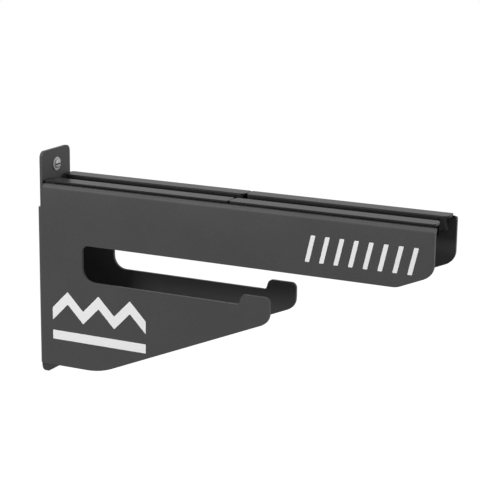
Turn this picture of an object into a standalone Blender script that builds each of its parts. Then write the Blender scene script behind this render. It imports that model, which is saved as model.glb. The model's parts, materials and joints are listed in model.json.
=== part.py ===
"""Ski wall rack: a folded sheet bracket with two arms. Pairs of skis hang between four jaws that lift
to open and close again under their own weight, and poles hang on the two hooks below.

Metres, +Z up. The origin lies on the wall face, in the middle plane, level with the tops of the arms.
+X points away from the wall, the near arm is at -Y and the far arm at +Y.
"""

import math

import bmesh
import bpy
from mathutils import Matrix, Vector

# Sheet and overall sizes
SHEET = 0.003
INSIDE_BEND = 0.001
ARM_LENGTH = 0.400
BODY_WIDTH = 0.062
SIDE_HEIGHT = 0.1793

# Side plate outline, depths below the tops of the arms
UPPER_ARM_DEPTH = 0.0553
WINDOW_HEIGHT = 0.0358
WINDOW_FROM_WALL = 0.050
WINDOW_TOP_RADIUS = 0.0065
WINDOW_LOW_RADIUS = 0.013
RISE_ANGLE = math.radians(22.7)
LOW_CORNER_FROM_WALL = 0.0685
LOW_CORNER_RADIUS = 0.072
TIP_DROP = 0.0414
TIP_RADIUS = 0.014
TIP_LOW_RADIUS = 0.020

# Pole hooks at the ends of the lower arms
HOOK_REACH = 0.247
HOOK_LENGTH = 0.028
HOOK_RISE = 0.010
HOOK_BACK = 0.003
HOOK_TOP_RADIUS = 0.005
HOOK_FOOT_RADIUS = 0.003
HOOK_NOSE_RADIUS = 0.013

# Wall plate tabs, relief slots and screw holes
TAB_WIDTH = 0.050
TAB_RISE = 0.0297
TAB_RADIUS = 0.006
FOOT_DROP = 0.012
FOOT_RADIUS = 0.009
SLOT_DEPTH = 0.023
SLOT_WIDTH = 0.0065
SLOT_RADIUS = 0.002
SCREW_FROM_TOP = 0.0152
SCREW_SPACING = 0.175
SCREW_HOLE = 0.0065

# Lip rolled in along the top of each arm
LIP_FLAT = 0.0006

# Jaws
JAW_FROM_WALL = 0.0055
JAW_FROM_TIP = 0.002
JAW_SPACING = 0.0006
SKI_SLOT = 0.015
JAW_WIDTH = 0.0181
JAW_RISE = 0.003
JAW_DEPTH = 0.0126
JAW_TOP = 0.002
JAW_EDGE = 0.0019
JAW_SKIRT = 0.002
JAW_WALL = 0.0022
JAW_RIBS = 2
JAW_LEAN = math.radians(12.1)
JAW_CORNER = 0.008
JAW_CURL = 0.003
JAW_OUTER_CORNER = 0.003
JAW_LEAD_RADIUS = 0.0018
JAW_EDGE_RADIUS = 0.0009
NOTCH_WIDTH = 0.0052
NOTCH_SLOPE = 0.0005

# Pivots
ROD_RADIUS = 0.0015
ROD_DROP = 0.007
ROD_CLEARANCE = 0.0002
BOSS_RADIUS = 0.0028
TAIL_DROP = 0.0075
TAIL_WIDTH = 0.0034
FIT_GAP = 0.0003

# Hangers and retaining rings that carry the rods
HANGER_SHEET = 0.002
HANGER_FOOT = 0.014
HANGER_FOOT_SHEET = 0.0014
HANGER_DEPTH = 0.014
HANGER_FOOT_HEIGHT = 0.005
HANGER_EYE = 0.0031
HANGER_PLAY = 0.0004
RING_RADIUS = 0.0027
RING_LENGTH = 0.0012
ROD_END = 0.0004

# Rubber grips in the jaws
GRIP_DROP = 0.0019
GRIP_HEIGHT = 0.0084
GRIP_PROUD = 0.0009
GRIP_BED = 0.0006
GRIP_END = 0.009
GRIP_GROOVES = 3
GRIP_GROOVE = 0.0005

# Wall screws and washers
WASHER_RADIUS = 0.0065
WASHER_HOLE = 0.0028
WASHER_SHEET = 0.0008
SCREW_HEAD_RADIUS = 0.0043
SCREW_HEAD_HEIGHT = 0.0019
SCREW_HEAD_RIM = 0.0009
SCREW_SHANK_RADIUS = 0.0025
SCREW_LENGTH = 0.020
SCREW_POINT = 0.005
DRIVE_WIDTH = 0.0014
DRIVE_DEPTH = 0.001

# Places worked out from the sizes above
HALF = BODY_WIDTH / 2
BEND = SHEET + INSIDE_BEND
LOW_Z = -SIDE_HEIGHT
WINDOW_LOW_Z = -UPPER_ARM_DEPTH - WINDOW_HEIGHT
INNER_FACE = HALF - SHEET
PIVOT_OUT = INNER_FACE - FIT_GAP - BOSS_RADIUS
PIVOT_Z = -ROD_DROP
JAW_IN = SKI_SLOT / 2
JAW_OUT = JAW_IN + JAW_WIDTH
JAW_UNDER = JAW_RISE - JAW_TOP
JAW_LOW_Z = JAW_RISE - JAW_DEPTH
TAIL_Z = PIVOT_Z - TAIL_DROP
BELOW_JAWS = 2 * TAIL_Z
JAW_LENGTH = (ARM_LENGTH - JAW_FROM_WALL - JAW_SPACING - JAW_FROM_TIP) / 2
JAW_STARTS = (JAW_FROM_WALL, JAW_FROM_WALL + JAW_LENGTH + JAW_SPACING)
FIRST_WALL = JAW_FROM_WALL + JAW_CORNER
LAST_WALL = ARM_LENGTH - JAW_FROM_TIP - JAW_CORNER
SCREW_ZS = (TAB_RISE - SCREW_FROM_TOP, TAB_RISE - SCREW_FROM_TOP - SCREW_SPACING)
PAST = 0.002
SHY = 0.0001


def material(name, colour, roughness, metallic):
    made = bpy.data.materials.new(name)
    made.use_nodes = True
    shader = made.node_tree.nodes["Principled BSDF"]
    shader.inputs["Base Color"].default_value = (*colour, 1.0)
    shader.inputs["Roughness"].default_value = roughness
    shader.inputs["Metallic"].default_value = metallic
    return made


def new_object(name, shape, finish):
    """An object from a bmesh, shaded smooth except across its sharp edges."""
    mesh = bpy.data.meshes.new(name)
    bmesh.ops.recalc_face_normals(shape, faces=shape.faces)
    shape.to_mesh(mesh)
    shape.free()
    mesh.shade_smooth()
    mesh.set_sharp_from_angle(angle=math.radians(30))
    if finish:
        mesh.materials.append(finish)
    made = bpy.data.objects.new(name, mesh)
    bpy.context.scene.collection.objects.link(made)
    return made


def cutter(name, shape):
    made = new_object(name, shape, None)
    made.hide_render = True
    made.display_type = "WIRE"
    return made


def boolean(target, other, operation):
    step = target.modifiers.new(operation.title(), "BOOLEAN")
    step.operation = operation
    step.solver = "EXACT"
    step.object = other


def set_origin(made, point):
    """Puts an object's origin at a point, while its shape stays where it is."""
    made.data.transform(Matrix.Translation(-point))
    made.location = point


def rounded(corners, steps=6):
    """An outline whose corners, given as (x, y, radius), become arcs of that radius."""
    points = []
    for i, (x, y, radius) in enumerate(corners):
        here = Vector((x, y))
        if radius == 0:
            points.append(here)
            continue
        before = (Vector(corners[i - 1][:2]) - here).normalized()
        after = (Vector(corners[(i + 1) % len(corners)][:2]) - here).normalized()
        half_angle = before.angle(after) / 2
        centre = here + (before + after).normalized() * radius / math.sin(half_angle)
        reach = radius / math.tan(half_angle)
        start = here + before * reach - centre
        end = here + after * reach - centre
        turn = math.atan2(start.x * end.y - start.y * end.x, start.dot(end))
        for k in range(steps + 1):
            points.append(centre + Matrix.Rotation(turn * k / steps, 2) @ start)
    return points


def prism(outline, low, high, place):
    """A bmesh between two copies of a flat outline. place(a, b, t) gives the point (a, b) at height t."""
    shape = bmesh.new()
    ends = [[shape.verts.new(place(p[0], p[1], t)) for p in outline] for t in (low, high)]
    shape.faces.new(ends[0])
    shape.faces.new(ends[1][::-1])
    for i in range(len(outline)):
        k = (i + 1) % len(outline)
        shape.faces.new((ends[0][i], ends[1][i], ends[1][k], ends[0][k]))
    return shape


def cylinder(radius, sides, low, high, y, z):
    """A many-sided cylinder along X about the line at (y, z)."""
    angles = [2 * math.pi * k / sides for k in range(sides)]
    circle = [(y + radius * math.cos(a), z + radius * math.sin(a)) for a in angles]
    return prism(circle, low, high, lambda a, b, t: (t, a, b))


def profile_along_x(outline, side, low, high):
    """A cross-section given as (distance from the middle plane, Z), run along X on one side."""
    return prism(outline, low, high, lambda a, b, t: (t, side * a, b))


def plan_along_z(outline, side, low, high):
    """A shape seen from above, given as (X, distance from the middle plane), run along Z."""
    return prism(outline, low, high, lambda a, b, t: (a, side * b, t))


# Bracket body

def side_outline():
    """The side plate in X and Z, up to where its bends to the wall plate and to the lip start."""
    slope = math.tan(RISE_ANGLE)
    hook_start = HOOK_REACH - HOOK_LENGTH
    tip_start = ARM_LENGTH - (UPPER_ARM_DEPTH - TIP_DROP) / slope
    return rounded([
        (BEND, -SLOT_DEPTH, 0),
        (BEND, LOW_Z, 0),
        (LOW_CORNER_FROM_WALL, LOW_Z, LOW_CORNER_RADIUS),
        (HOOK_REACH, LOW_Z + (HOOK_REACH - LOW_CORNER_FROM_WALL) * slope, HOOK_NOSE_RADIUS),
        (HOOK_REACH, WINDOW_LOW_Z + HOOK_RISE, HOOK_TOP_RADIUS),
        (hook_start, WINDOW_LOW_Z + HOOK_RISE, HOOK_TOP_RADIUS),
        (hook_start - HOOK_BACK, WINDOW_LOW_Z, HOOK_FOOT_RADIUS),
        (WINDOW_FROM_WALL, WINDOW_LOW_Z, WINDOW_LOW_RADIUS),
        (WINDOW_FROM_WALL, -UPPER_ARM_DEPTH, WINDOW_TOP_RADIUS),
        (tip_start, -UPPER_ARM_DEPTH, TIP_LOW_RADIUS),
        (ARM_LENGTH, -TIP_DROP, TIP_RADIUS),
        (ARM_LENGTH, -BEND, 0),
        (SLOT_WIDTH, -BEND, 0),
        (SLOT_WIDTH, -SLOT_DEPTH, SLOT_RADIUS),
    ])


def wall_outline():
    """The wall plate in Y and Z, between its two bends."""
    flat, tab = HALF - BEND, TAB_WIDTH / 2
    right = [
        (flat, LOW_Z - FOOT_DROP, FOOT_RADIUS),
        (flat, LOW_Z, 0),
        (flat, -SLOT_DEPTH, 0),
        (tab, -SLOT_DEPTH, 0),
        (tab, TAB_RISE, TAB_RADIUS),
    ]
    return rounded(right + [(-y, z, radius) for y, z, radius in right[::-1]])


def bracket_body(finish):
    """One folded sheet: its outer skin is drawn as a surface, then thickened inwards."""
    skin = bmesh.new()
    corners = {}

    def face(points):
        keys = [tuple(round(value, 7) for value in point) for point in points]
        for key in keys:
            if key not in corners:
                corners[key] = skin.verts.new(key)
        skin.faces.new([corners[key] for key in keys])

    steps = 6
    arc = [math.pi / 2 * k / steps for k in range(steps + 1)]
    fold = [(BEND * (1 - math.sin(a)), HALF - BEND * (1 - math.cos(a))) for a in arc]
    roll = [(HALF - BEND * (1 - math.cos(a)), BEND * (math.sin(a) - 1)) for a in arc]
    roll.append((HALF - BEND - LIP_FLAT, 0))
    face([(0, p[0], p[1]) for p in wall_outline()])
    for side in (-1, 1):
        face([(p[0], side * HALF, p[1]) for p in side_outline()])
        for (x, y), (x2, y2) in zip(fold, fold[1:]):
            corner_list = ((x, y, LOW_Z), (x2, y2, LOW_Z), (x2, y2, -SLOT_DEPTH), (x, y, -SLOT_DEPTH))
            face([(a, side * b, c) for a, b, c in corner_list])
        for (y, z), (y2, z2) in zip(roll, roll[1:]):
            corner_list = ((SLOT_WIDTH, y, z), (ARM_LENGTH, y, z), (ARM_LENGTH, y2, z2), (SLOT_WIDTH, y2, z2))
            face([(a, side * b, c) for a, b, c in corner_list])
    body = new_object("bracket_body", skin, finish)
    thicken = body.modifiers.new("Sheet", "SOLIDIFY")
    thicken.thickness = SHEET
    thicken.offset = -1
    thicken.use_even_offset = True
    for k, z in enumerate(SCREW_ZS):
        hole = cylinder(SCREW_HOLE / 2, 24, -PAST, SHEET + PAST, 0, z)
        boolean(body, cutter(f"screw_hole_{k}", hole), "DIFFERENCE")


# Jaws

def skirt_at(z, inside=0.0):
    """How far out the skirt's ski side lies at a height, or a face that lies inside it by a distance."""
    return JAW_IN + (JAW_RISE - z) * math.tan(JAW_LEAN) + inside / math.cos(JAW_LEAN)


def jaw_profile():
    """Cross-section of a jaw's wall: top, notch for the lip, boss round the rod, tail and skirt."""
    notch = JAW_OUT - NOTCH_WIDTH
    boss_z = PIVOT_Z + BOSS_RADIUS
    tail = PIVOT_OUT + BOSS_RADIUS
    return rounded([
        (JAW_IN, JAW_RISE, JAW_LEAD_RADIUS),
        (JAW_OUT, JAW_RISE, JAW_EDGE_RADIUS / 2),
        (JAW_OUT, JAW_RISE - JAW_EDGE, JAW_EDGE_RADIUS / 2),
        (notch, JAW_UNDER - NOTCH_SLOPE, 0),
        (notch, boss_z, BOSS_RADIUS / 2),
        (tail, boss_z, BOSS_RADIUS),
        (tail, TAIL_Z, JAW_EDGE_RADIUS),
        (tail - TAIL_WIDTH, TAIL_Z, JAW_EDGE_RADIUS),
        (tail - TAIL_WIDTH - JAW_EDGE_RADIUS, JAW_LOW_Z, JAW_EDGE_RADIUS),
        (skirt_at(JAW_LOW_Z), JAW_LOW_Z, JAW_EDGE_RADIUS),
    ], steps=4)


def hollow(name, side, start, end):
    """What is taken out along a stretch of a jaw: all that is below its top and behind its skirt."""
    profile = rounded([
        (skirt_at(JAW_UNDER, JAW_SKIRT), JAW_UNDER, JAW_EDGE_RADIUS),
        (skirt_at(JAW_LOW_Z, JAW_SKIRT), JAW_LOW_Z, 0),
        (skirt_at(JAW_LOW_Z, JAW_SKIRT), BELOW_JAWS, 0),
        (HALF, BELOW_JAWS, 0),
        (HALF, JAW_UNDER, 0),
    ], steps=3)
    return cutter(name, profile_along_x(profile, side, start, end))


def end_hollow(name, side, x, inward):
    """The open end of a jaw, where the skirt curls round the corner and ends."""
    wall = x + inward * JAW_CORNER
    outside = x - inward * PAST
    bend = JAW_CORNER - JAW_SKIRT
    turn = math.acos((JAW_CORNER - JAW_CURL) / bend)
    steps = 4
    opening = [(wall, BODY_WIDTH), (outside, BODY_WIDTH), (outside, JAW_IN + JAW_CURL)]
    for k in range(steps, -1, -1):
        a = turn * k / steps
        opening.append((wall - inward * bend * math.sin(a), JAW_IN + JAW_CORNER - bend * math.cos(a)))
    ends = sorted((x - 2 * inward * PAST, wall + inward * PAST))
    made = hollow(name, side, *ends)
    plan = cutter(name + "_plan", plan_along_z(opening, side, 2 * BELOW_JAWS, JAW_RISE))
    boolean(made, plan, "INTERSECT")
    return made


def jaw(name, side, start, finish):
    """An open moulding: a flat top, a leaning skirt that curls round at both ends, and walls on the rod."""
    end = start + JAW_LENGTH
    solid = new_object(name, profile_along_x(jaw_profile(), side, start - PAST, end + PAST), finish)
    wide = JAW_OUT + SHY
    inset = JAW_CORNER - PAST
    plan = rounded([
        (start + inset, HALF, 0),
        (start + inset, wide, 0),
        (start, wide, JAW_OUTER_CORNER),
        (start, JAW_IN, JAW_CORNER),
        (end, JAW_IN, JAW_CORNER),
        (end, wide, JAW_OUTER_CORNER),
        (end - inset, wide, 0),
        (end - inset, HALF, 0),
    ])
    trim = cutter(name + "_plan", plan_along_z(plan, side, BELOW_JAWS, JAW_RISE + PAST))
    boolean(solid, trim, "INTERSECT")
    boolean(solid, end_hollow(name + "_end_1", side, start, 1), "DIFFERENCE")
    boolean(solid, end_hollow(name + "_end_2", side, end, -1), "DIFFERENCE")
    bays = JAW_RIBS + 1
    pitch = (JAW_LENGTH - 2 * JAW_CORNER - JAW_WALL) / bays
    for k in range(bays):
        wall = start + JAW_CORNER + k * pitch
        boolean(solid, hollow(f"{name}_bay_{k}", side, wall + JAW_WALL, wall + pitch), "DIFFERENCE")
    radius = ROD_RADIUS + ROD_CLEARANCE
    bore = cylinder(radius, 20, start - PAST, end + PAST, side * PIVOT_OUT, PIVOT_Z)
    boolean(solid, cutter(name + "_bore", bore), "DIFFERENCE")
    bed = profile_along_x(
        grip_outline(GRIP_BED + FIT_GAP, PAST, FIT_GAP, 0), side,
        start + GRIP_END - FIT_GAP, end - GRIP_END + FIT_GAP,
    )
    boolean(solid, cutter(name + "_bed", bed), "DIFFERENCE")
    set_origin(solid, Vector((start, side * PIVOT_OUT, PIVOT_Z)))


def grip_outline(sunk, proud, wider, grooves):
    """A strip on the skirt's ski side, sunk into it and proud of it, with grooves along its face."""
    down = Vector((math.sin(JAW_LEAN), -math.cos(JAW_LEAN)))
    out = Vector((-math.cos(JAW_LEAN), -math.sin(JAW_LEAN)))
    top = Vector((JAW_IN, JAW_RISE)) + down * (GRIP_DROP - wider)
    height = GRIP_HEIGHT + 2 * wider
    points = [top - out * sunk, top + out * proud]
    for k in range(grooves):
        middle = height * (k + 1) / (grooves + 1)
        for across, depth in ((-GRIP_GROOVE, 0), (0, GRIP_GROOVE), (GRIP_GROOVE, 0)):
            points.append(top + down * (middle + across) + out * (proud - depth))
    return points + [top + down * height + out * proud, top + down * height - out * sunk]


def grip(name, side, start, finish):
    """A rubber strip bedded in a jaw's skirt, which is what touches the skis."""
    outline = grip_outline(GRIP_BED, GRIP_PROUD, 0, GRIP_GROOVES)
    strip = profile_along_x(outline, side, start + GRIP_END, start + JAW_LENGTH - GRIP_END)
    set_origin(new_object(name, strip, finish), Vector((start, side * PIVOT_OUT, PIVOT_Z)))


# Rods and what holds them

def rod(name, side, finish):
    start = FIRST_WALL - FIT_GAP - RING_LENGTH - ROD_END
    end = LAST_WALL + FIT_GAP + RING_LENGTH + ROD_END
    shape = cylinder(ROD_RADIUS, 16, start, end, side * PIVOT_OUT, PIVOT_Z)
    new_object(name, shape, finish)


def ring(name, side, start, finish):
    end = start + RING_LENGTH
    made = new_object(name, cylinder(RING_RADIUS, 20, start, end, side * PIVOT_OUT, PIVOT_Z), finish)
    radius = ROD_RADIUS + ROD_CLEARANCE
    bore = cylinder(radius, 20, start - PAST, end + PAST, side * PIVOT_OUT, PIVOT_Z)
    boolean(made, cutter(name + "_bore", bore), "DIFFERENCE")


def hanger(name, side, x, towards, finish):
    """An angle with its foot on the arm's inner face, under the rod, and an ear that the rod passes through."""
    face = INNER_FACE - FIT_GAP
    foot = face - HANGER_FOOT_SHEET
    top = -BEND - FIT_GAP
    foot_top = -HANGER_DEPTH + HANGER_FOOT_HEIGHT
    eye = PIVOT_OUT - HANGER_EYE
    ear = rounded([
        (foot, -HANGER_DEPTH, 0),
        (eye, PIVOT_Z - HANGER_EYE, HANGER_EYE * 0.9),
        (eye, top, HANGER_EYE / 3),
        (face, top, 0),
        (face, foot_top, 0),
        (foot, foot_top, 0),
    ], steps=5)
    shape = bmesh.new()
    corners = [shape.verts.new((x, side * a, b)) for a, b in ear]
    low = shape.verts.new((x, side * face, -HANGER_DEPTH))
    shape.faces.new(corners)
    shape.faces.new((corners[0], corners[-1], corners[-2], low))

    sheet = bmesh.ops.extrude_face_region(shape, geom=shape.faces[:])["geom"]
    moved = [item for item in sheet if isinstance(item, bmesh.types.BMVert)]
    bmesh.ops.translate(shape, verts=moved, vec=(towards * HANGER_SHEET, 0, 0))
    front = [item for item in sheet if isinstance(item, bmesh.types.BMFace)]
    foot_face = min(front, key=lambda item: len(item.verts))
    foot_end = bmesh.ops.extrude_discrete_faces(shape, faces=[foot_face])["faces"][0]
    bmesh.ops.translate(shape, verts=foot_end.verts, vec=(towards * (HANGER_FOOT - HANGER_SHEET), 0, 0))
    made = new_object(name, shape, finish)
    radius = ROD_RADIUS + ROD_CLEARANCE
    bore = cylinder(radius, 20, x - 2 * PAST, x + 2 * PAST, side * PIVOT_OUT, PIVOT_Z)
    boolean(made, cutter(name + "_bore", bore), "DIFFERENCE")


# Wall screws and washers

def washer(name, z, finish):
    start = SHEET + FIT_GAP
    end = start + WASHER_SHEET
    made = new_object(name, cylinder(WASHER_RADIUS, 32, start, end, 0, z), finish)
    hole = cylinder(WASHER_HOLE, 24, start - PAST, end + PAST, 0, z)
    boolean(made, cutter(name + "_hole", hole), "DIFFERENCE")


def screw(name, z, finish):
    """A pan head with one slot across it and a pointed shank, turned about X."""
    seat = SHEET + WASHER_SHEET + 2 * FIT_GAP
    tip = seat - SCREW_LENGTH
    rim = seat + SCREW_HEAD_RIM
    crown = SCREW_HEAD_HEIGHT - SCREW_HEAD_RIM
    steps = 5
    arc = [math.pi / 2 * k / steps for k in range(steps)]
    profile = [(0, seat + SCREW_HEAD_HEIGHT)]
    profile += [(SCREW_HEAD_RADIUS * math.cos(a), rim + crown * math.sin(a)) for a in arc[::-1]]
    profile += [
        (SCREW_HEAD_RADIUS, seat),
        (SCREW_SHANK_RADIUS, seat),
        (SCREW_SHANK_RADIUS, tip + SCREW_POINT),
        (0, tip),
    ]
    shape = bmesh.new()
    line = [shape.verts.new((x, r, 0)) for r, x in profile]
    edges = [shape.edges.new(pair) for pair in zip(line, line[1:])]
    bmesh.ops.spin(shape, geom=line + edges, axis=(1, 0, 0), angle=2 * math.pi, steps=24)
    bmesh.ops.remove_doubles(shape, verts=shape.verts, dist=1e-6)
    bmesh.ops.translate(shape, verts=shape.verts, vec=(0, 0, z))
    made = new_object(name, shape, finish)
    wide, high = SCREW_HEAD_RADIUS + PAST, DRIVE_WIDTH / 2
    box = ((-wide, z - high), (wide, z - high), (wide, z + high), (-wide, z + high))
    top = seat + SCREW_HEAD_HEIGHT
    slot = prism(box, top - DRIVE_DEPTH, top + PAST, lambda a, b, t: (t, a, b))
    boolean(made, cutter(name + "_slot", slot), "DIFFERENCE")


def main():
    for thing in list(bpy.data.objects):
        bpy.data.objects.remove(thing, do_unlink=True)
    coat = material("powder_coat", (0.070, 0.070, 0.074), 0.55, 0.0)
    moulding = material("jaw_moulding", (0.035, 0.035, 0.037), 0.50, 0.0)
    rubber = material("grip_rubber", (0.012, 0.012, 0.012), 0.85, 0.0)
    steel = material("zinc_steel", (0.35, 0.35, 0.36), 0.35, 1.0)
    black = material("black_steel", (0.030, 0.030, 0.031), 0.45, 1.0)

    bracket_body(coat)
    inset = JAW_CORNER + JAW_WALL + HANGER_PLAY
    for label, side in (("near", -1), ("far", 1)):
        for place, start in zip(("wall", "front"), JAW_STARTS):
            jaw(f"jaw_{label}_{place}", side, start, moulding)
            grip(f"grip_{label}_{place}", side, start, rubber)
            hanger(f"hanger_{label}_{place}_1", side, start + inset, 1, coat)
            hanger(f"hanger_{label}_{place}_2", side, start + JAW_LENGTH - inset, -1, coat)
        rod(f"pivot_rod_{label}", side, black)
        ring(f"rod_ring_{label}_wall", side, FIRST_WALL - FIT_GAP - RING_LENGTH, black)
        ring(f"rod_ring_{label}_front", side, LAST_WALL + FIT_GAP, black)
    for label, z in zip(("top", "bottom"), SCREW_ZS):
        washer(f"washer_{label}", z, steel)
        screw(f"wall_screw_{label}", z, steel)


main()
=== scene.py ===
"""Looks of the ski wall rack: its own finishes, softened edges, threads and print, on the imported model."""

import json
import math

import bmesh
import bpy
from mathutils import Matrix, Vector

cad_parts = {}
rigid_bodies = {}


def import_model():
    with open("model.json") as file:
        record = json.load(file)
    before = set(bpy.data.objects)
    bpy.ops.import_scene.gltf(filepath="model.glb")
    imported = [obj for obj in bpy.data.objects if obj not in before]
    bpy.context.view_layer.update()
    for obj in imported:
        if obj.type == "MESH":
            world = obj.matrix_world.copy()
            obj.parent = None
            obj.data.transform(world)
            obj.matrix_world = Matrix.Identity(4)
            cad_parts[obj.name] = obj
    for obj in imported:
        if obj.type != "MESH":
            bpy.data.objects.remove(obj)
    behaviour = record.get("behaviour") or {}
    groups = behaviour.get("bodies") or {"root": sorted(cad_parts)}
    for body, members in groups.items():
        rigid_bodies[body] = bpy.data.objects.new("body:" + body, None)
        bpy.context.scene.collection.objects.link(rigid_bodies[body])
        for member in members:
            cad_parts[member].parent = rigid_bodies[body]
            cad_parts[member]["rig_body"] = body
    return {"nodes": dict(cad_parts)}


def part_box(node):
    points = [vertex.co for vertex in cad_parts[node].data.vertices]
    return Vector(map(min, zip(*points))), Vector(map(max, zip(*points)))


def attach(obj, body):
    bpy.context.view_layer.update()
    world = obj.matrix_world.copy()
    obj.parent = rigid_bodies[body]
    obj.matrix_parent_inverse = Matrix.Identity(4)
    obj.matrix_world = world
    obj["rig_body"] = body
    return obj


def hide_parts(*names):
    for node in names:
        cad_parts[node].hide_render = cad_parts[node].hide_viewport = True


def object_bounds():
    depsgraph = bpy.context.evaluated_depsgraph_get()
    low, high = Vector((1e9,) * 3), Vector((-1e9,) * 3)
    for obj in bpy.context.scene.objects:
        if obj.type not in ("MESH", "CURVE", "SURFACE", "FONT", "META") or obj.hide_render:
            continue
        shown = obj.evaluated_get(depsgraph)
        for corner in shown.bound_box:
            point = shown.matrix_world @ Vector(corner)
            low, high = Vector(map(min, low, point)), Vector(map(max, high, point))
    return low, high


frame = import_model()
cad_low, cad_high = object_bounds()
HALF_WIDTH = cad_high[1]

# Camera, fitted to the photograph: where it stands, which way it looks, and its focal length in pixels
CAMERA_AT = Vector((0.7957, -1.2355, 0.2966))
TURN, TILT, ROLL = (math.radians(angle) for angle in (25.673, 13.749, 0.675))
FOCAL_PIXELS = 1527.2
FRAME_PIXELS = 480
SENSOR = 36.0

# Studio: lamps as name, place, size in metres and watts, all aimed at the middle of the arms
AIM = (0.2, 0, -0.03)
LAMPS = (
    ("key", (-0.85, -1.7, 1.38), 0.9, 46),
    ("top", (0.1, -0.15, 2.0), 1.0, 8),
    ("end", (2.4, 0.25, 0.6), 1.0, 23),
    ("back", (-1.6, 1.3, -0.2), 1.2, 8),
)
FILL = 0.36
FLOOR_Z = -1.3
FLOOR_HALF = 6
FLOOR_GLOW = 0.92

# Softened edges: rounding in metres of folded sheet, mouldings and small turned parts, the angle from
# which an edge is sharp, the angle under which two faces are one flat, and the distance in metres under
# which two points are one
SHEET_EDGE = 0.00022
MOULD_EDGE = 0.00025
FINE_EDGE = 0.0001
EDGE_SEGMENTS = 2
SHARP = math.radians(35)
FLAT = math.radians(0.5)
SAME_POINT = 0.000001

# Wall screws: shank, thread and driver slot in metres, and the least X of a normal that faces out
SHANK_RADIUS = 0.0025
THREAD_PITCH = 0.0018
THREAD_DEPTH = 0.0005
THREAD_WIDTH = 0.0009
THREAD_TURNS = 5
THREAD_FROM_TIP = 0.0053
THREAD_STEPS = 20
SLOT_DEPTH = 0.001
SLOT_WIDTH = 0.0014
FACING_OUT = 0.9

# Dark beads along the arms' lips that stand in for the shade in the gap under the jaws' rims, in metres
BEAD_FROM_WALL = 0.0075
BEAD_FROM_TIP = 0.001
BEAD_OUT = 0.0261
BEAD_THICK = 0.0004
BEAD_LOW = -0.0025
BEAD_TOP = 0.00075
BEAD_EDGE = BEAD_THICK / 3

# Print on the near side plate, in metres: the film's thickness, which is also its distance from the
# plate, then its two motifs
FILM = 0.00005
RIDGE_LEFT = 0.016
RIDGE_LOW = -0.1335
RIDGE_PEAK = 0.0172
RIDGE_HEIGHT = 0.0175
RIDGE_PEAKS = 3
RIDGE_STROKE = 0.0125
BASE_LOW = -0.1525
BASE_HEIGHT = 0.009
BARS = 8
BAR_LEFT = 0.2805
BAR_PITCH = 0.0137
BAR_WIDTH = 0.0042
BAR_LOW = -0.0425
BAR_HEIGHT = 0.0245
BAR_LEAN = 0.0055
PRINT_CORNER = 0.0007
PRINT_SEGMENTS = 3

# Most of a noise texture's values lie between these two
FAINT = 0.3
STRONG = 0.7
NOISE_RANGE = {"From_Min": FAINT, "From_Max": STRONG}


# Colours and materials

def srgb(code):
    """An sRGB hex code as a linear colour."""
    values = [int(code[k:k + 2], 16) / 255 for k in (0, 2, 4)]
    return (*[v / 12.92 if v <= 0.04045 else ((v + 0.055) / 1.055) ** 2.4 for v in values], 1.0)


def add(tree, kind, links=(), stops=(), **settings):
    """Adds a node. Settings that name a socket set its value, the others set the node's own options,
    stops are (position, hex code) of a colour ramp, and each link is (input, output socket)."""
    node = tree.nodes.new(kind)
    for name, value in settings.items():
        if hasattr(node, name):
            setattr(node, name, value)
        else:
            node.inputs[name.replace("_", " ")].default_value = value
    for k, (position, code) in enumerate(stops):
        element = node.color_ramp.elements[k] if k < 2 else node.color_ramp.elements.new(position)
        element.position = position
        element.color = srgb(code)
    for name, source in links:
        tree.links.new(source, node.inputs[name])
    return node.outputs[0]


def start(name, **sockets):
    """A material whose Principled shader has these values on its own sockets, and the object's own
    coordinates in metres, for its patterns."""
    made = bpy.data.materials.new(name)
    made.use_nodes = True
    tree = made.node_tree
    shader = tree.nodes["Principled BSDF"]
    for socket, value in sockets.items():
        shader.inputs[socket.replace("_", " ")].default_value = value
    add(tree, "ShaderNodeTexCoord")
    return made, tree, shader, tree.nodes["Texture Coordinate"].outputs["Object"]


def per_mm(size):
    """The scale of a pattern on coordinates in metres, whose cells are this many millimetres across."""
    return 1000 / size


def connect(tree, shader, **sources):
    """Links outputs to the Principled shader's sockets of these names."""
    for socket, source in sources.items():
        tree.links.new(source, shader.inputs[socket.replace("_", " ")])


def powder_coat():
    """Mild steel sheet, polyester powder coated: an even dark grey with a soft sheen, whose fused grains
    give a fine orange peel. The real peel is about 0.4 mm; drawn at 1.1 mm so that it shows."""
    made, tree, shader, place = start("powder_coated_steel", IOR=1.5, Specular_IOR_Level=0.12)
    peel = add(tree, "ShaderNodeTexNoise", [("Vector", place)], Scale=per_mm(1.1), Detail=2.0)
    speck = add(tree, "ShaderNodeTexNoise", [("Vector", place)], Scale=per_mm(0.7), Detail=0.0)
    batch = add(tree, "ShaderNodeTexNoise", [("Vector", place)], Scale=per_mm(60), Detail=3.0)
    ground = add(tree, "ShaderNodeValToRGB", [("Fac", batch)], [(FAINT, "4c4c4c"), (STRONG, "505050")])
    grains = add(tree, "ShaderNodeValToRGB", [("Fac", speck)], [(0.35, "f0f0f0"), (0.65, "ffffff")])
    colour = add(tree, "ShaderNodeVectorMath", [(0, ground), (1, grains)], operation="MULTIPLY")
    sheen = add(tree, "ShaderNodeMapRange", [("Value", peel)], To_Min=0.44, To_Max=0.56, **NOISE_RANGE)
    skin = add(tree, "ShaderNodeBump", [("Height", peel)], Strength=0.4, Distance=0.00002)
    connect(tree, shader, Base_Color=colour, Roughness=sheen, Normal=skin)
    return made


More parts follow.
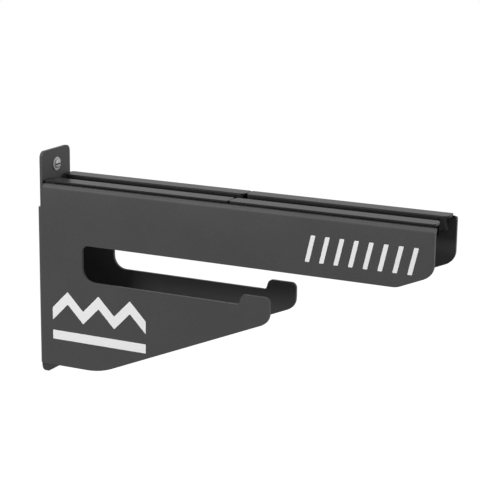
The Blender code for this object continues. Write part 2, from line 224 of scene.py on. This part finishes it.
def jaw_nylon():
    """Glass-filled nylon, injection moulded in a spark-eroded tool: near black, with a satin gloss that
    turns pale where it is seen along the surface. The real grain is 0.2 mm; drawn at 0.8 mm."""
    made, tree, shader, place = start("moulded_nylon", IOR=1.53, Specular_IOR_Level=0.06)
    spark = add(tree, "ShaderNodeTexNoise", [("Vector", place)], Scale=per_mm(0.8), Detail=2.0)
    flow = add(tree, "ShaderNodeTexNoise", [("Vector", place)], Scale=per_mm(35), Detail=2.0)
    colour = add(tree, "ShaderNodeValToRGB", [("Fac", flow)], [(FAINT, "282828"), (STRONG, "2d2d2d")])
    sheen = add(tree, "ShaderNodeMapRange", [("Value", spark)], To_Min=0.26, To_Max=0.36, **NOISE_RANGE)
    skin = add(tree, "ShaderNodeBump", [("Height", spark)], Strength=0.3, Distance=0.000015)
    connect(tree, shader, Base_Color=colour, Roughness=sheen, Normal=skin)
    return made


def grip_rubber():
    """Moulded EPDM rubber: dull black, a little paler where it has been rubbed. Its pores are about
    0.1 mm; drawn at 0.6 mm."""
    made, tree, shader, place = start("moulded_rubber", IOR=1.52, Specular_IOR_Level=0.2)
    bloom = add(tree, "ShaderNodeTexNoise", [("Vector", place)], Scale=per_mm(6), Detail=3.0)
    pores = add(tree, "ShaderNodeTexNoise", [("Vector", place)], Scale=per_mm(0.6), Detail=1.0)
    colour = add(tree, "ShaderNodeValToRGB", [("Fac", bloom)], [(0.35, "131313"), (STRONG, "1b1b1a")])
    sheen = add(tree, "ShaderNodeMapRange", [("Value", bloom)], To_Min=0.75, To_Max=0.9, **NOISE_RANGE)
    skin = add(tree, "ShaderNodeBump", [("Height", pores)], Strength=0.5, Distance=0.00003)
    connect(tree, shader, Base_Color=colour, Roughness=sheen, Normal=skin)
    return made


def zinc_plate():
    """Carbon steel, zinc plated and passivated: a soft mid grey metal with a faint crystal mottle. The
    real crystals are finer than 0.3 mm; drawn at 0.9 mm."""
    made, tree, shader, place = start("zinc_plated_steel", Metallic=1.0)
    mottle = add(tree, "ShaderNodeTexVoronoi", [("Vector", place)], Scale=per_mm(0.9))
    colour = add(tree, "ShaderNodeValToRGB", [("Fac", mottle)], [(0.2, "9b9b9c"), (0.8, "acacad")])
    sheen = add(
        tree, "ShaderNodeMapRange", [("Value", mottle)],
        From_Min=0.1, From_Max=0.8, To_Min=0.58, To_Max=0.7,
    )
    skin = add(tree, "ShaderNodeBump", [("Height", mottle)], Strength=0.3, Distance=0.00001)
    connect(tree, shader, Base_Color=colour, Roughness=sheen, Normal=skin)
    return made


def black_oxide():
    """Drawn steel rod, black oxide finished and oiled: near black with faint lines along the drawing.
    The real lines are under 0.1 mm wide; drawn at 0.5 mm and twenty times as long."""
    made, tree, shader, place = start("black_oxide_steel", Metallic=1.0)
    drawn = add(tree, "ShaderNodeMapping", [("Vector", place)], Scale=(0.05, 1.0, 1.0))
    lines = add(tree, "ShaderNodeTexNoise", [("Vector", drawn)], Scale=per_mm(0.5), Detail=2.0)
    colour = add(tree, "ShaderNodeValToRGB", [("Fac", lines)], [(FAINT, "262628"), (STRONG, "323234")])
    sheen = add(tree, "ShaderNodeMapRange", [("Value", lines)], To_Min=0.4, To_Max=0.5, **NOISE_RANGE)
    connect(tree, shader, Base_Color=colour, Roughness=sheen)
    return made


def slot_shade_paint():
    """Painted shade for the floors of the screws' driver slots: a flat, almost black colour that stands in
    for the shade in them.
    """
    made, tree, shader, place = start("painted_slot_shade", IOR=1.4, Specular_IOR_Level=0.2)
    clump = add(tree, "ShaderNodeTexNoise", [("Vector", place)], Scale=per_mm(0.4), Detail=3.0)
    colour = add(tree, "ShaderNodeValToRGB", [("Fac", clump)], [(FAINT, "1a1a1a"), (STRONG, "2a2927")])
    sheen = add(tree, "ShaderNodeMapRange", [("Value", clump)], To_Min=0.8, To_Max=0.95, **NOISE_RANGE)
    connect(tree, shader, Base_Color=colour, Roughness=sheen)
    return made


def print_ink():
    """Screen-printed two-part ink: an even white film that lies a little thinner in places."""
    made, tree, shader, place = start("screen_print_ink", IOR=1.5, Specular_IOR_Level=0.2)
    thickness = add(tree, "ShaderNodeTexNoise", [("Vector", place)], Scale=per_mm(1.5), Detail=3.0)
    colour = add(tree, "ShaderNodeValToRGB", [("Fac", thickness)], [(FAINT, "f7f7f7"), (STRONG, "fdfdfd")])
    sheen = add(tree, "ShaderNodeMapRange", [("Value", thickness)], To_Min=0.45, To_Max=0.6, **NOISE_RANGE)
    connect(tree, shader, Base_Color=colour, Roughness=sheen)
    return made


# Making pieces

def points_of(geometry):
    """The vertices among what an extrusion gives back."""
    return [item for item in geometry if isinstance(item, bmesh.types.BMVert)]


def finish_piece(name, shape, material, body):
    """An object from a bmesh, smooth but for its sharp edges, riding on a body."""
    mesh = bpy.data.meshes.new(name)
    shape.to_mesh(mesh)
    shape.free()
    mesh.shade_smooth()
    mesh.set_sharp_from_angle(angle=SHARP)
    mesh.materials.append(material)
    made = bpy.data.objects.new(name, mesh)
    bpy.context.scene.collection.objects.link(made)
    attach(made, body)
    return made


def softened(node, material, slot, edge):
    """A copy of a node's shape, merged, with its sharp edges rounded off a little."""
    shape = bmesh.new()
    shape.from_mesh(frame["nodes"][node].data)
    bmesh.ops.remove_doubles(shape, verts=shape.verts, dist=SAME_POINT)
    bmesh.ops.dissolve_limit(shape, angle_limit=FLAT, verts=shape.verts, edges=shape.edges)
    body = frame["nodes"][node]["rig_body"]
    made = finish_piece(node + "_piece", shape, material, body)
    rounding = made.modifiers.new("Edge", "BEVEL")
    rounding.width = edge
    rounding.segments = EDGE_SEGMENTS
    rounding.limit_method = "ANGLE"
    rounding.angle_limit = SHARP
    rounding.harden_normals = True
    rounding.use_clamp_overlap = True
    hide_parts(node)
    return made


def paint_slot_shade(screw, slot_shade):
    """Gives the floor of a screw's driver slot its painted shade."""
    screw.data.materials.append(slot_shade)
    shade_index = len(screw.data.materials) - 1
    top = max(vert.co.x for vert in screw.data.vertices)
    middle = sum(vert.co.z for vert in screw.data.vertices) / len(screw.data.vertices)
    for face in screw.data.polygons:
        depth = top - face.center.x
        sunk = SLOT_DEPTH / 2 < depth < 2 * SLOT_DEPTH
        if sunk and abs(face.center.z - middle) < SLOT_WIDTH / 2 and face.normal.x > FACING_OUT:
            face.material_index = shade_index


def thread(node, material):
    """A helical ridge with a pointed section round a wall screw's shank."""
    low, high = (Vector(corner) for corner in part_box(node))
    middle = (low + high) / 2
    core = SHANK_RADIUS - THREAD_DEPTH / 2
    crest = SHANK_RADIUS + THREAD_DEPTH
    turn = bmesh.new()
    x = low.x + THREAD_FROM_TIP
    ring = [turn.verts.new(point) for point in (
        (x, middle.y, middle.z + core),
        (x + THREAD_WIDTH / 2, middle.y, middle.z + crest),
        (x + THREAD_WIDTH, middle.y, middle.z + core),
    )]
    turn.faces.new(ring)
    bmesh.ops.spin(
        turn, geom=turn.faces[:], cent=middle, axis=(1, 0, 0), dvec=(THREAD_PITCH / THREAD_STEPS, 0, 0),
        angle=2 * math.pi * THREAD_TURNS, steps=THREAD_STEPS * THREAD_TURNS, use_duplicate=False,
    )
    bmesh.ops.recalc_face_normals(turn, faces=turn.faces)
    finish_piece(node + "_thread", turn, material, "rack")


def shade_bead(side, label, material):
    """A thin dark bead along the lip's edge, just under the closed jaws, that stands in for the shade in the
    gap under the jaws' rims.
    """
    low, high = (Vector(corner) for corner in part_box("bracket_body"))
    size = Vector((high.x - BEAD_FROM_WALL - BEAD_FROM_TIP, BEAD_THICK, BEAD_TOP - BEAD_LOW))
    middle = Vector((BEAD_FROM_WALL + size.x / 2, side * BEAD_OUT, BEAD_LOW + size.z / 2))
    bead = bmesh.new()
    bmesh.ops.create_cube(bead, size=1)
    bmesh.ops.scale(bead, verts=bead.verts, vec=size)
    bmesh.ops.translate(bead, verts=bead.verts, vec=middle)
    bmesh.ops.bevel(
        bead, geom=bead.edges[:], offset=BEAD_EDGE, segments=EDGE_SEGMENTS, profile=0.5,
        affect="EDGES", material=-1,
    )
    finish_piece(f"shade_bead_{label}", bead, material, "rack")


def film(name, shape, ink):
    """Makes a flat outline on the near plate into a thin film, with its corners rounded a little."""
    bmesh.ops.bevel(
        shape, geom=shape.verts[:], offset=PRINT_CORNER, segments=PRINT_SEGMENTS, profile=0.5,
        affect="VERTICES", material=-1,
    )
    bmesh.ops.translate(shape, verts=shape.verts, vec=(0, -HALF_WIDTH - FILM, 0))
    sheet = bmesh.ops.extrude_face_region(shape, geom=shape.faces[:])["geom"]
    bmesh.ops.translate(shape, verts=points_of(sheet), vec=(0, -FILM, 0))
    bmesh.ops.recalc_face_normals(shape, faces=shape.faces)
    finish_piece(name, shape, ink, "rack")


def strip(shape, points, stroke):
    """A band above a line of points given as (X, Z)."""
    line = [shape.verts.new((x, 0, z)) for x, z in points]
    edges = [shape.edges.new(pair) for pair in zip(line, line[1:])]
    raised = bmesh.ops.extrude_edge_only(shape, edges=edges)["geom"]
    bmesh.ops.translate(shape, verts=points_of(raised), vec=(0, 0, stroke))


def ridge_print(ink):
    """A plain line of peaks over a straight bar, low on the near plate."""
    shape = bmesh.new()
    points = []
    for k in range(2 * RIDGE_PEAKS + 1):
        points.append((RIDGE_LEFT + k * RIDGE_PEAK, RIDGE_LOW + (k % 2) * RIDGE_HEIGHT))
    strip(shape, points, RIDGE_STROKE)
    strip(shape, [(points[0][0], BASE_LOW), (points[-1][0], BASE_LOW)], BASE_HEIGHT)
    film("ridge_print", shape, ink)


def bar_print(ink):
    """A row of plain leaning bars near the tip of the near arm."""
    shape = bmesh.new()
    for k in range(BARS):
        x = BAR_LEFT + k * BAR_PITCH
        strip(shape, [(x, BAR_LOW), (x + BAR_WIDTH, BAR_LOW)], BAR_HEIGHT)
    top = [vert for vert in shape.verts if vert.co.z > BAR_LOW + BAR_HEIGHT / 2]
    bmesh.ops.translate(shape, verts=top, vec=(BAR_LEAN, 0, 0))
    film("bar_print", shape, ink)


# Camera, lights and floor

def photo_camera():
    """The camera that was fitted to the photograph."""
    data = bpy.data.cameras.new("camera")
    data.sensor_width = SENSOR
    data.lens = FOCAL_PIXELS / FRAME_PIXELS * SENSOR
    back = Vector((
        math.sin(TURN) * math.cos(TILT), -math.cos(TURN) * math.cos(TILT), math.sin(TILT),
    ))
    level = Vector((math.cos(TURN), math.sin(TURN), 0))
    across = level * math.cos(ROLL) + back.cross(level) * math.sin(ROLL)
    upward = back.cross(across)
    made = bpy.data.objects.new("camera", data)
    made.matrix_world = Matrix.Translation(CAMERA_AT) @ Matrix((across, upward, back)).transposed().to_4x4()
    bpy.context.scene.collection.objects.link(made)
    bpy.context.scene.camera = made


def lamp(name, at, size, watts):
    """A square area lamp aimed at the middle of the arms."""
    data = bpy.data.lights.new(name, "AREA")
    data.size = size
    data.energy = watts
    made = bpy.data.objects.new(name, data)
    made.location = at
    made.rotation_euler = (Vector(AIM) - Vector(at)).to_track_quat("-Z", "Y").to_euler()
    bpy.context.scene.collection.objects.link(made)


def seen_share(tree):
    """1 for what the camera sees straight, in a mirror or through glass, and 0 for the light it gives."""
    add(tree, "ShaderNodeLightPath")
    path = tree.nodes["Light Path"].outputs
    straight = add(
        tree, "ShaderNodeMath", [(0, path["Is Camera Ray"]), (1, path["Is Glossy Ray"])],
        operation="MAXIMUM",
    )
    return add(
        tree, "ShaderNodeMath", [(0, straight), (1, path["Is Transmission Ray"])], operation="MAXIMUM",
    )


def surroundings():
    """White to look at, and a low even fill on the object."""
    world = bpy.data.worlds.new("studio")
    bpy.context.scene.world = world
    world.use_nodes = True
    tree = world.node_tree
    share = seen_share(tree)
    level = add(tree, "ShaderNodeMapRange", [("Value", share)], To_Min=FILL, To_Max=1.0)
    background = tree.nodes["Background"]
    background.inputs["Color"].default_value = (1, 1, 1, 1)
    tree.links.new(level, background.inputs["Strength"])


def studio_floor():
    """A plain pale floor far below, which looks white and still takes the object's shadow."""
    shape = bmesh.new()
    bmesh.ops.create_grid(shape, x_segments=1, y_segments=1, size=FLOOR_HALF)
    bmesh.ops.translate(shape, verts=shape.verts, vec=(0, 0, FLOOR_Z))
    mesh = bpy.data.meshes.new("floor")
    shape.to_mesh(mesh)
    shape.free()
    floor = bpy.data.objects.new("floor", mesh)
    bpy.context.scene.collection.objects.link(floor)
    paint, tree, shader, _ = start(
        "matt_floor_paint", Base_Color=srgb("6c6c6c"), Roughness=0.9, Emission_Color=(1, 1, 1, 1),
    )
    share = seen_share(tree)
    glow = add(tree, "ShaderNodeMapRange", [("Value", share)], To_Min=0.0, To_Max=FLOOR_GLOW)
    connect(tree, shader, Emission_Strength=glow)
    mesh.materials.append(paint)


# The object

coat, nylon, rubber = powder_coat(), jaw_nylon(), grip_rubber()
# The last of these materials is painted shade for the floors of the screws' driver slots
zinc, black, ink, slot_shade = zinc_plate(), black_oxide(), print_ink(), slot_shade_paint()
photo_camera()
bpy.context.scene.view_settings.view_transform = "Standard"
surroundings()
studio_floor()
for name, at, size, watts in LAMPS:
    lamp(name, at, size, watts)

# Material, slot and edge rounding of each kind of piece, by the first word of its name
KINDS = {
    "bracket": (coat, "powder_coat", SHEET_EDGE),
    "jaw": (nylon, "jaw_moulding", MOULD_EDGE),
    "grip": (rubber, "grip_rubber", FINE_EDGE),
    "hanger": (coat, "powder_coat", SHEET_EDGE),
    "pivot": (black, "black_steel", FINE_EDGE),
    "rod": (black, "black_steel", FINE_EDGE),
    "washer": (zinc, "zinc_steel", FINE_EDGE),
    "wall": (zinc, "zinc_steel", FINE_EDGE),
}
for node in sorted(frame["nodes"]):
    softened(node, *KINDS[node.split("_")[0]])
for node in ("wall_screw_top", "wall_screw_bottom"):
    thread(node, zinc)
    # The floors of the driver slots get painted shade
    paint_slot_shade(bpy.data.objects[node + "_piece"], slot_shade)
# Dark beads put into the shaded gaps under the jaws' rims, standing in for that shade
for side, label in ((-1, "near"), (1, "far")):
    shade_bead(side, label, nylon)
ridge_print(ink)
bar_print(ink)
